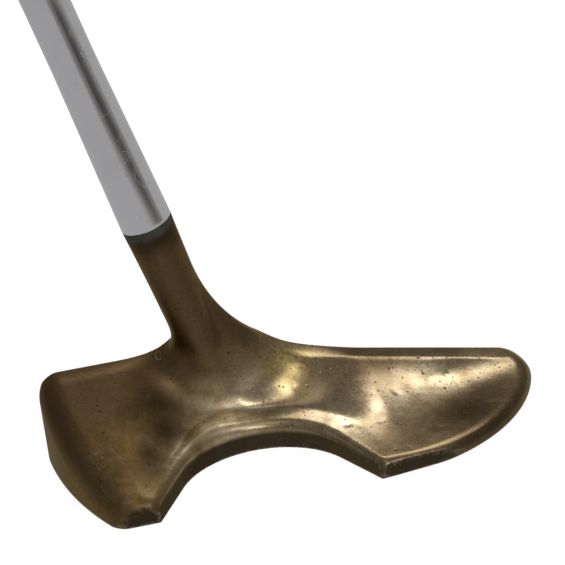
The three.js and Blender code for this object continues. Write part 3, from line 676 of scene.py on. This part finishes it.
brassLook = {
    "colours": {
        "plain": (0.300, 0.188, 0.050),      # olive-brown tarnish on the heel side
        "toeFilmAndLight": (0.400, 0.286, 0.155),    # pinkish grey film in the middle and towards the toe, its greater lightness partly painted light
        "rubbedAndHighlight": (0.800, 0.670, 0.450),     # bright metal: painted highlights at the rubbed places, and real wear on chips and scratches
        "goldHighlight": (0.700, 0.530, 0.200),     # painted gold highlight beside the neck's foot
        "umberAndShade": (0.066, 0.040, 0.019),      # dark umber: painted shade at the dark places, and darker tone in broad blotches, creases, pits and on the rims
        # painted shade: darker colour over the neck, fading out towards its foot
        "neckShade": (0.150, 0.094, 0.046),
        "grey": (0.070, 0.048, 0.029),       # darker grey-brown on the ground flats and the cut-out's wall, partly ground metal and partly painted shade
        "verdigris": (0.075, 0.082, 0.074),
        "burnt": (0.045, 0.026, 0.018),      # band heated when the shaft was fitted
    },
    "patterns": {
        "broad": ("blotches", 55.0, 0.36, 0.66), "patchy": ("blotches", 210.0, 0.35, 0.7),
        "fine": ("noise", 1400.0, 5, 0.7), "cloudy": ("noise", 420.0, 4, 0.65),
        "peel": ("noise", 700.0, 3), "jointGrain": ("noise", 260.0), "crustGrain": ("noise", 900.0),
        "pits": ("smallPits", 520.0, 0.26, 0.10), "specks": ("smallPits", 1300.0, 0.28, 0.16),
        "scratches": ("fineScratches", 260.0, 0.0040, 0.34),
        "lines": ("grained", 0, 0.04, 2600.0, 3),   # grinding marks run up and down
    },
    "filmWander": 0.012, "jointWander": 0.004,      # metres
    "sums": {"grit": {"pits": 1.0, "specks": 1.0}},
    "broken": {
        "toeward": (None, "along", -0.014, 0.012),  # where the heel's film gives way to the toe's lighter one, partly painted light
        "filmDull": (None, "toeward", 0.0, 1.0, 0.40, 0.24),
        # neck: where the neck's painted shade lies
        "neck": (None, "fromJoint", 0.028, 0.042, 1.0, 0.0),
        # worn: the painted highlights of the rubbed places, broken up by a cloudy noise
        "worn": ("rubbedAndHighlight", "cloudy", 0.30, 0.62, 0.45, 1.0),
        # patch: the painted gold highlight, broken up by a fine noise
        "patch": ("goldHighlight", "fine", 0.36, 0.50, 0.15, 1.0),
        # darker on the rounded rims of the heel and the toe, broken up by a patchy noise
        "darkerRims": ("rim", "patchy", 0.0, 1.0, 0.70, 1.0),
        "chips": ("edge", "peel", 0.42, 0.60),      # thin bright line where edges are worn through
        "shade": (None, "fine", 0.3, 0.7, 0.84, 1.12),
        "burnt": (None, "down", 0.0025, 0.0080, 0.8, 0.0),
        "crustBand": (None, "down", 0.0008, 0.0026, 0.9, 0.0),
        "crust": ("crustBand", "crustGrain", 0.3, 0.5, 0.35, 1.0),
        "grinding": ("ground", "lines"),
    },
    "layers": (
        ("toeward", 1.0, "toeFilmAndLight"), ("broad", 0.48, "umberAndShade"), ("patchy", 0.20, "rubbedAndHighlight"),
        # dark lays painted shade at the dark places
        ("dark", 0.95, "umberAndShade"), ("neck", 0.9, "neckShade"), ("crease", 0.30, "umberAndShade"),
        # worn lays painted highlights, and patch a painted gold highlight
        ("worn", 0.85, "rubbedAndHighlight"), ("patch", 0.95, "goldHighlight"), ("darkerRims", 0.70, "umberAndShade"),
        # ground lays the darker grey of the flats and the wall, partly painted shade
        ("ground", 0.98, "grey"), ("milled", 0.8, "toeFilmAndLight"), ("chips", 0.25, "rubbedAndHighlight"),
        ("scratches", 0.35, "rubbedAndHighlight"), ("grit", 0.85, "umberAndShade"), ("shade", 1.0, None),
        ("burnt", 1.0, "burnt"), ("crust", 1.0, "verdigris"),
    ),
    "shader": {
        "Metallic": (1.0, {"crust": -0.9}),
        "Specular Tint": ((0.92, 0.80, 0.60, 1), {}),  # what the skin mirrors at a glancing angle
        "Roughness": (0.0, {"filmDull": 1.0, "fine": 0.10, "grit": 0.25, "ground": 0.12,
                            "crust": 0.35, "worn": -0.10}),
    },
    "relief": {"peel": 0.30, "fine": 0.12, "grinding": 0.5, "grit": -1.6, "scratches": -0.5,
               "crust": 1.5},
    "reliefDepth": 0.00005,  # metres
}


def addBrassMasks(tree, where, masks):
    # masks stored in the mesh, the place along X and the distance below the joint, both shaken
    for key in ("edge", "crease", "ground", "milled", "rim", "fromJoint", *headPlaces):
        masks[key] = addNode(tree, "Attribute", attribute_name=key).outputs["Fac"]
    along = addNode(tree, "SeparateXYZ", {0: where}).outputs[0]
    masks["along"] = shaken(tree, along, masks["broad"], brassLook["filmWander"])
    masks["down"] = shaken(tree, masks["fromJoint"], masks["jointGrain"], brassLook["jointWander"])


brass = makeFinish("aged_brass", brassLook, addBrassMasks)
makeHead(brass)
print("head made")


# Turned pieces stand on the neck's axis

def onClub(points):
    # from the neck's own axes to the part's: lean back about +Y, then to the neck's foot
    h = headSizes
    x, y, z = np.moveaxis(points, -1, 0)
    x, z = turned(x, z, -h["lieLean"])
    foot = (-h["neckFromCentre"], h["originBehindFace"] - h["neckBehindFace"], h["neckFootHeight"])
    return np.stack([x, y, z], axis=-1) + foot


def turnedRows(radii, heights, sides):
    # a profile of radius and height carried round the axis
    angle = np.arange(sides) / sides * fullTurn
    x = np.outer(radii, np.cos(angle))
    y = np.outer(radii, np.sin(angle))
    z = np.repeat(np.asarray(heights, float)[:, None], sides, axis=1)
    return np.stack([x, y, z], axis=-1)


def wrappedPiece(name, rows, material, nodes, uvOf=None):
    # rows of points joined round and, last to first, into a ring-shaped solid
    faces, rowAt, columnAt = ringGrid(*rows.shape[:2])
    uv = uvOf(rowAt, columnAt) if uvOf else None
    meshPiece(name, onClub(rows).reshape(-1, 3), faces, material, nodes, uv=uv)


shaftStart = headSizes["neckLength"] + gap
shaftEnd = shaftStart + shaftSizes["length"]


def shaftRadiusAt(height):
    # flared tip, long parallel run, then an even taper up to the butt
    s = shaftSizes
    upFlare = np.clip((height - shaftStart) / s["flareLength"], 0, 1)
    taperLength = s["length"] - s["parallelLength"]
    upTaper = np.maximum((height - shaftStart - s["parallelLength"]) / taperLength, 0)
    flare = (s["tipRadius"] - s["radius"]) * (1 - upFlare)
    return s["radius"] + flare + (s["buttRadius"] - s["radius"]) * upTaper


chromeLook = {
    "colours": {"plain": (0.68, 0.68, 0.71), "hazy": (0.60, 0.59, 0.60), "rusty": (0.10, 0.075, 0.055)},
    "patterns": {
        "haze": ("blotches", 90.0, 0.45, 0.75), "specks": ("smallPits", 700.0, 0.14, 0.05),
        "drawn": ("grained", headSizes["lieLean"], 0.06, 900.0, 3),
        "scratches": ("fineScratches", 150.0, 0.003, 0.45),
    },
    "layers": (("haze", 0.25, "hazy"), ("specks", 0.8, "rusty")),
    "shader": {"Metallic": (1, {}),
               "Roughness": (0.17, {"haze": 0.08, "scratches": 0.25, "specks": 0.4})},
    "relief": {"drawn": 0.3, "specks": -1.0, "scratches": -0.4}, "reliefDepth": 0.00002,
}


def makeShaft(material):
    # radius against height: rounded foot, flare, taper, then back down the bore
    s = shaftSizes
    foot = headSizes["neckLength"] + s["seam"]
    quarter = np.linspace(0, fullTurn / 4, s["edgeRows"])
    tip = s["tipRadius"] - s["edge"] * (1 - np.sin(quarter))
    tipHeight = foot + s["edge"] * (1 - np.cos(quarter))
    flareEnd = shaftStart + s["flareLength"]
    run = np.concatenate([np.linspace(foot + s["flareRowsFrom"], flareEnd, s["flareRows"]),
                          np.linspace(flareEnd + s["bodyRowsFrom"], shaftEnd, s["bodyRows"])])
    bore = run[::-s["boreRowEvery"]]
    inner = shaftRadiusAt(bore) - s["wall"]
    radii = np.concatenate([tip, shaftRadiusAt(run), inner, [s["tipRadius"] - s["wall"]]])
    heights = np.concatenate([tipHeight, run, bore, [foot]])
    rows = turnedRows(radii, heights, s["sides"])
    wrappedPiece("putter_shaft", rows, material, ["shaft"])


def makeTenon(material):
    # the casting's spigot inside the shaft: a plain taper that follows the bore, closed at both ends
    s = shaftSizes
    low, high = headSizes["neckLength"], headSizes["neckLength"] + headSizes["tenonLength"]
    heights = np.array([low, low, high, high])
    closing = np.array([s["closedShare"], 1, 1, s["closedShare"]])
    radii = (shaftRadiusAt(heights) - s["wall"] - gap) * closing
    rows = turnedRows(radii, heights, s["sides"])
    wrappedPiece("neck_tenon", rows, material, [])


makeShaft(makeFinish("chromed_steel", chromeLook))
makeTenon(brass)
print("shaft made")


# Grip: a leather strip wound over a sleeve with a flat front
gripSizes = {
    "length": 267, "lowRadius": 10, "topRadius": 13.2, "lowFlatShare": 0.98, "topFlatShare": 0.8,
    "cornerShare": 0.25, "leather": 1.4, "strip": 22, "seamDepth": 0.45, "seamWidth": 0.55,
    "skivedDrop": 0.14, "skivedWidth": 3.2, "creaseDepth": 0.05, "endDrop": 0.35, "endReach": 1.2,
    "rowPitch": 0.42, "innerRows": 8, "sides": 112, "creases": 3, "creaseBend": 2,
    "creaseBendTurns": 2, "leastCosine": 0.001,
}
gripStart = shaftEnd - gripSizes["length"]


def gripRows(heights, angle, offset=0.0):
    # A circle whose toe side is cut by a flat, the corner between them filled: both the circle's
    # radius and the flat's distance grow evenly up the grip, and an offset moves the whole skin
    g = gripSizes
    up = (heights - gripStart) / g["length"]
    plain = between(g["lowRadius"], g["topRadius"], up)
    radius = plain + offset
    flat = plain * between(g["lowFlatShare"], g["topFlatShare"], up) + offset
    towards = np.cos(angle)
    toFlat = np.where(towards > 0, flat / np.maximum(towards, g["leastCosine"]), radius + flat)
    reach = blendedLeast(radius, toFlat, radius * g["cornerShare"])
    return np.stack([reach * towards, reach * np.sin(angle), heights + 0 * reach], axis=-1)


leatherLook = {
    "colours": {"plain": (0.105, 0.045, 0.020), "worn": (0.160, 0.075, 0.036),
                "dark": (0.042, 0.019, 0.010), "hollow": (0.012, 0.007, 0.005)},
    "patterns": {
        "broad": ("blotches", 32.0, 0.35, 0.7), "handled": ("noise", 9.0, 2),
        "pores": ("cells", 1300.0), "wrinkles": ("noise", 420.0, 6, 0.65, 0.4),
    },
    "holesRound": 36, "holesAcross": 8, "holeSquash": 1.8,
    "plainEdge": 0.12,  # share of the strip's width without holes beside the seam
    "broken": {
        "seam": (None, "toSeam", 0.004, 0.045, 1.0, 0.0),
        "punched": ("offEdge", "toHole", 0.10, 0.19, 1.0, 0.0),
        "darkWrinkles": (None, "wrinkles", 0.35, 0.62, 0.45, 0.0),
    },
    "layers": (("broad", 1.0, "worn"), ("handled", 0.5, "dark"), ("darkWrinkles", 1.0, "dark"),
               ("seam", 0.9, "hollow"), ("punched", 0.95, "hollow")),
    "shader": {"Roughness": (0.46, {"wrinkles": 0.22, "broad": -0.10, "punched": 0.3})},
    "relief": {"wrinkles": 0.9, "pores": 0.35, "punched": -2.2, "seam": -1.2},
    "reliefDepth": 0.00016,
}


def addHoles(tree, where, masks):
    # distance from the middle of the nearest hole, the holes standing in a grid along and across
    # the strip, and distance from the seam in strip widths
    look = leatherLook
    wrap = addNode(tree, "UVMap", uv_map="wrap").outputs[0]
    across = addNode(tree, "SeparateXYZ", {0: wrap}).outputs
    squares = []
    for axis, count in ((0, look["holesRound"]), (1, look["holesAcross"])):
        cell = maths(tree, "FRACT", maths(tree, "MULTIPLY", across[axis], float(count)))
        offMiddle = maths(tree, "SUBTRACT", cell, 0.5)
        squares.append(maths(tree, "MULTIPLY", offMiddle, offMiddle))
    squashed = maths(tree, "MULTIPLY", squares[1], look["holeSquash"])
    masks["toHole"] = maths(tree, "SQRT", maths(tree, "ADD", squares[0], squashed))
    masks["toSeam"] = maths(tree, "PINGPONG", across[1], 0.5)
    masks["offEdge"] = maths(tree, "GREATER_THAN", masks["toSeam"], look["plainEdge"])


def makeGrip(material):
    # Skin of the grip with a helical seam: how far a point lies from the nearest seam follows from
    # its height over the strip's width, less its share of a turn. The seam is a bell-shaped groove,
    # with the strip's edges skived down to it and a faint crease along the strip's middle.
    g = gripSizes
    count = math.ceil(g["length"] / g["rowPitch"])
    outer = np.linspace(gripStart, shaftEnd, count)
    inner = np.linspace(shaftEnd, gripStart, g["innerRows"])
    turn = np.arange(g["sides"]) / g["sides"]
    heights, turns = np.meshgrid(outer, turn, indexing="ij")
    phase = heights / g["strip"] - turns
    away = np.abs(phase - np.round(phase)) * g["strip"]
    drop = g["seamDepth"] * bell(away / g["seamWidth"])
    drop = drop + g["skivedDrop"] * (1 - softStep(away, 0, g["skivedWidth"]))
    bend = g["creaseBend"] * np.sin(turns * fullTurn * g["creaseBendTurns"])
    ripple = np.sin(phase * fullTurn * g["creases"] + bend) * np.sin(heights / g["lowRadius"])
    drop = drop + g["creaseDepth"] * (1 + ripple) / 2
    fromEnd = np.minimum(heights - gripStart, shaftEnd - heights)
    drop = drop + g["endDrop"] * (1 - softStep(fromEnd, 0, g["endReach"]))
    skin = gripRows(heights, turns * fullTurn, -drop)
    lining = gripRows(*np.meshgrid(inner, turn * fullTurn, indexing="ij"), -g["leather"])
    rowHeights = np.concatenate([outer, inner])

    def uvOf(rowAt, columnAt):
        along = columnAt / g["sides"]
        return np.stack([along, rowHeights[rowAt % len(rowHeights)] / g["strip"] - along], axis=-1)

    rows = np.concatenate([skin, lining])
    wrappedPiece("grip_leather_wrap", rows, material, ["grip_leather"], uvOf=uvOf)


makeGrip(makeFinish("wound_leather", leatherLook, addHoles))
print("grip made")


# Collar below the grip and cap on top of it
endSizes = {
    "collarLength": 14, "collarLowWall": 0.9, "collarBulge": 0.8, "collarRows": 60,
    "beads": ((0.70, 0.3), (0.80, 0.3)), "beadWidth": 0.016, "lipRound": 0.35, "lipShare": 0.03,
    "capThickness": 6, "capLip": 0.6, "capEdge": 2.4, "screwSink": 0.4, "screwHeadRadius": 4.2,
    "screwHeadHeight": 2.4, "shankRadius": 2, "ringShare": 0.55, "ringWidth": 0.07, "ringDepth": 0.3,
    "edgeRows": 12, "topRows": 30,
}


plasticLook = {
    "colours": {"plain": (0.012, 0.011, 0.011), "scuffed": (0.045, 0.043, 0.042)},
    "patterns": {
        "scuffs": ("fineScratches", 320.0, 0.012, 0.55), "dusty": ("blotches", 60.0, 0.4, 0.8),
        "grain": ("noise", 2600.0, 3),
    },
    "sums": {"grey": {"scuffs": 0.5, "dusty": 0.25}},
    "layers": (("grey", 1.0, "scuffed"),),
    "shader": {"Roughness": (0.30, {"dusty": 0.15, "scuffs": 0.2})},
    "relief": {"grain": 0.5, "scuffs": -0.6}, "reliefDepth": 0.00004,
}


def makeCollar(material):
    # radius against height: an even taper plus half a sine for the bulge, less two narrow bell
    # grooves, its two lips rounded, then straight down the bore
    e = endSizes
    top = gripStart - gap
    low = top - e["collarLength"]
    share = np.linspace(0, 1, e["collarRows"])
    heights = low + share * e["collarLength"]
    lowRadius = shaftRadiusAt(low) + gap + e["collarLowWall"]
    bulge = e["collarBulge"] * np.sin(math.pi * share)
    radii = between(lowRadius, gripSizes["lowRadius"], share) + bulge
    for place, depth in e["beads"]:
        radii = radii - depth * bell((share - place) / e["beadWidth"])
    fromLip = np.minimum(share, 1 - share)
    radii = radii - e["lipRound"] * (1 - softStep(fromLip, 0, e["lipShare"]))
    bore = np.array([top, low])
    rows = turnedRows(np.concatenate([radii, shaftRadiusAt(bore) + gap]),
                      np.concatenate([heights, bore]), shaftSizes["sides"])
    wrappedPiece("grip_collar_ring", rows, material, ["grip_collar"])


def makeCap(material):
    # The grip's own section, rounded over by a quarter turn, then drawn in to the screw's recess:
    # each ring is the outer section and the round recess mixed by its share of the way in, with a
    # ring groove sunk as a bell curve of that share
    e, g = endSizes, gripSizes
    angle = np.arange(g["sides"]) / g["sides"] * fullTurn
    low = shaftEnd + gap
    high = low + e["capThickness"]
    headBase = high - e["screwSink"] - e["screwHeadHeight"]

    def section(offset, height):
        ring = gripRows(shaftEnd, angle, offset)
        ring[:, 2] = height
        return ring

    def roundRing(radius, height):
        return turnedRows([radius], [height], g["sides"])[0]

    rings = [section(e["capLip"] - e["lipRound"], low), section(e["capLip"], low + e["lipRound"])]
    for quarter in np.linspace(0, fullTurn / 4, e["edgeRows"]):
        inset, fall = (e["capEdge"] * (1 - part) for part in (math.cos(quarter), math.sin(quarter)))
        rings.append(section(e["capLip"] - inset, high - e["screwSink"] - fall))
    rim = rings[-1]
    recess = roundRing(e["screwHeadRadius"] + gap, high)
    for share in np.linspace(0, 1, e["topRows"])[1:]:
        ring = rim * (1 - share) + recess * share
        ring[:, 2] -= e["ringDepth"] * bell((share - e["ringShare"]) / e["ringWidth"])
        rings.append(ring)
    rings += [roundRing(e["screwHeadRadius"] + gap, headBase + e["screwHeadHeight"] - gap),
              roundRing(e["shankRadius"] + gap, headBase - gap), roundRing(e["shankRadius"] + gap, low)]
    wrappedPiece("butt_cap_dome", np.stack(rings), material, ["butt_cap"])


plastic = makeFinish("black_plastic", plasticLook)
makeCollar(plastic)
makeCap(plastic)
print("collar and cap made")


# Pieces kept from the frame: screw, plug, tape and sleeve
weaveRate = 9000.0  # radians of thread to the metre


def addWeave(tree, where, masks):
    # plain weave: two crossed sets of sine threads, one along the shaft and one across it
    axes = addNode(tree, "SeparateXYZ", {0: where}).outputs[:3]
    x, y, z = (maths(tree, "SINE", maths(tree, "MULTIPLY", axis, weaveRate)) for axis in axes)
    masks["weave"] = maths(tree, "MAXIMUM", maths(tree, "MULTIPLY", x, z),
                           maths(tree, "MULTIPLY", y, z))


keptLooks = {
    "cap_screw": ("turned_steel", {
        "colours": {"plain": (0.42, 0.42, 0.41), "rusty": (0.20, 0.15, 0.11)},
        "patterns": {"rust": ("blotches", 260.0, 0.5, 0.8), "rings": ("noise", 3000.0, 3)},
        "layers": (("rust", 0.5, "rusty"),),
        "shader": {"Metallic": (1, {}), "Roughness": (0.28, {"rust": 0.3})},
        "relief": {"rings": 1.0}, "reliefDepth": 0.00002,
    }),
    "butt_plug": ("plug_hardwood", {
        "colours": {"plain": (0.46, 0.27, 0.13), "late": (0.25, 0.13, 0.055), "fleck": (0.13, 0.07, 0.03)},
        "patterns": {"grain": ("grained", headSizes["lieLean"], 0.05, 900.0, 6, 0.7),
                     "spots": ("noise", 1500.0, 2)},
        "broken": {"figure": (None, "grain", 0.35, 0.65), "flecks": (None, "spots", 0.62, 0.7),
                   "dull": (None, "grain", 0.2, 0.8, 0.55, 0.75)},
        "layers": (("figure", 1.0, "late"), ("flecks", 0.5, "fleck")),
        "shader": {"Roughness": (0.0, {"dull": 1.0})},
        "relief": {"grain": 1.0}, "reliefDepth": 0.0001,
    }),
    "shaft_tape": ("woven_tape", {
        "colours": {"plain": (0.42, 0.36, 0.24), "raised": (0.64, 0.57, 0.42), "fuzz": (0.32, 0.27, 0.18)},
        "patterns": {"fibres": ("noise", 1800.0)},
        "broken": {"raised": (None, "weave", -0.5, 0.8),
                   "dull": (None, "fibres", 0.2, 0.8, 0.75, 0.95)},
        "layers": (("raised", 1.0, "raised"), ("fibres", 0.4, "fuzz")),
        "shader": {"Roughness": (0.0, {"dull": 1.0})},
        "relief": {"weave": 1.0}, "reliefDepth": 0.00008,
    }, addWeave),
    "grip_underlisting": ("sleeve_rubber", {
        "colours": {"plain": (0.040, 0.034, 0.030), "chalky": (0.085, 0.078, 0.070)},
        "patterns": {"grain": ("noise", 1600.0, 5, 0.7), "chalk": ("blotches", 70.0, 0.4, 0.75)},
        "broken": {"dull": (None, "grain", 0.2, 0.8, 0.75, 0.95)},
        "layers": (("chalk", 0.6, "chalky"),),
        "shader": {"Roughness": (0.0, {"dull": 1.0})},
        "relief": {"grain": 1.0}, "reliefDepth": 0.00012,
    }),
}
for nodeName, finishParts in keptLooks.items():
    finish = makeFinish(*finishParts)
    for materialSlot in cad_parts[nodeName].material_slots:
        materialSlot.material = finish
print("kept pieces finished")


# Floor, lamps and world
studio = {
    "floorSize": 8.0,
    "floorDrop": -0.0001,    # a hair under the sole
    "mattFloor": 0.86,       # the floor's own grey
    "seenFloor": 1.18,       # its brightness as the camera sees it, laid over the matt by a share
    "seenShare": 0.8,
    "mirroredFloor": 0.48,   # its brightness as the metal reflects it
    "worldLevel": 0.24,
    "lampAim": (0, 0, 0.02),
    "cardEnd": (0.50, -0.53),
    "cardTint": (1, 0.9, 0.8, 1),
}

# each lamp's place, sizes, power and turn about its own axis in degrees
lamps = {
    "window": ((0.410, 0.608, 1.106), (1.00, 0.24), 3.1, -10),
    "front": ((0.500, -0.760, 0.955), (0.30, 0.26), 0.8, 0),
    "low": ((0.055, -1.050, 0.840), (0.28, 0.24), 2.2, 0),
    "above": ((-0.14, -0.386, 1.28), (0.50, 0.50), 0.55, 0),
}

# each card's near end, widths at the near and the far end, brightness and height
cards = {
    "shadeCard": ((0.10, -0.125), (0.24, 1.05), 0.35, 0.001),
    "duskCard": ((0.125, -0.15), (0.22, 0.85), 0.20, 0.002),
    "streakCard": ((0.16, -0.185), (0.12, 0.46), 0.05, 0.003),
}


def makeSheet(name, materialName, corners):
    # a flat sheet with four corners, and the empty shader tree of its material
    mesh = bpy.data.meshes.new(name)
    mesh.from_pydata(corners, [], [(0, 1, 2, 3)])
    material = bpy.data.materials.new(materialName)
    mesh.materials.append(material)
    return added(name, mesh), clearedTree(material)


def makeFloor():
    # matt to the light, a level of its own where the camera or a mirror sees it, and clear from
    # below, so that the sole shows
    s = studio
    size = s["floorSize"]
    signs = ((-1, -1), (1, -1), (1, 1), (-1, 1))
    corners = [(across * size, along * size, s["floorDrop"]) for across, along in signs]
    floor, tree = makeSheet("floor", "pale_floor", corners)
    matt = addNode(tree, "BsdfDiffuse", {"Color": (*[s["mattFloor"]] * 3, 1)})
    path = addNode(tree, "LightPath").outputs
    seen = path["Is Camera Ray"]
    mirrored = maths(tree, "MAXIMUM", path["Is Glossy Ray"], path["Is Transmission Ray"])
    level = weighted(tree, 0.0, {"mirrored": mirrored, "seen": seen},
                     {"mirrored": s["mirroredFloor"], "seen": s["seenFloor"]})
    glow = addNode(tree, "Emission", {"Color": (1, 1, 1, 1), "Strength": level})
    share = maths(tree, "MAXIMUM", mirrored, maths(tree, "MULTIPLY", seen, s["seenShare"]))
    blend = addNode(tree, "MixShader", {0: share, 1: matt.outputs[0], 2: glow.outputs[0]})
    clear = addNode(tree, "BsdfTransparent")
    side = addNode(tree, "NewGeometry").outputs["Backfacing"]
    blend = addNode(tree, "MixShader", {0: side, 1: blend.outputs[0], 2: clear.outputs[0]})
    addNode(tree, "OutputMaterial", {0: blend.outputs[0]})


def makeLamp(name, place, sizes, power, turn):
    light = bpy.data.lights.new(name, "AREA")
    light.shape = "RECTANGLE"
    light.size, light.size_y = sizes
    light.energy = power
    lamp = added(name, light)
    away = Vector(place) - Vector(studio["lampAim"])
    aimed = Matrix.Translation(place) @ away.to_track_quat("Z", "Y").to_matrix().to_4x4()
    lamp.matrix_world = aimed @ Matrix.Rotation(math.radians(turn), 4, "Z")


def makeCard(name, near, widths, level, up):
    # a dark strip that lies on the floor and is seen only as the metal mirrors it
    far = studio["cardEnd"]
    along = Vector(far) - Vector(near)
    aside = Vector((-along.y, along.x)).normalized()
    corners = []
    for place, side in ((near, -widths[0]), (far, -widths[1]), (far, widths[1]), (near, widths[0])):
        corners.append((place[0] + aside.x * side / 2, place[1] + aside.y * side / 2, up))
    card, tree = makeSheet(name, name, corners)
    glow = addNode(tree, "Emission", {"Color": studio["cardTint"], "Strength": level})
    addNode(tree, "OutputMaterial", {0: glow.outputs[0]})
    card.visible_camera = card.visible_diffuse = False
    card.visible_shadow = card.visible_transmission = False


def makeWorld():
    world = bpy.data.worlds.new("studio")
    bpy.context.scene.world = world
    tree = clearedTree(world)
    white = (1, 1, 1, 1)
    level = addNode(tree, "Background", {"Color": white, "Strength": studio["worldLevel"]})
    plain = addNode(tree, "Background", {"Color": white, "Strength": 1.0})
    seen = addNode(tree, "LightPath").outputs["Is Camera Ray"]
    blend = addNode(tree, "MixShader", {0: seen, 1: level.outputs[0], 2: plain.outputs[0]})
    addNode(tree, "OutputWorld", {0: blend.outputs[0]})


makeFloor()
for name, values in lamps.items():
    makeLamp(name, *values)
for name, values in cards.items():
    makeCard(name, *values)
makeWorld()
bpy.context.scene.view_settings.view_transform = "Standard"
print("studio made")
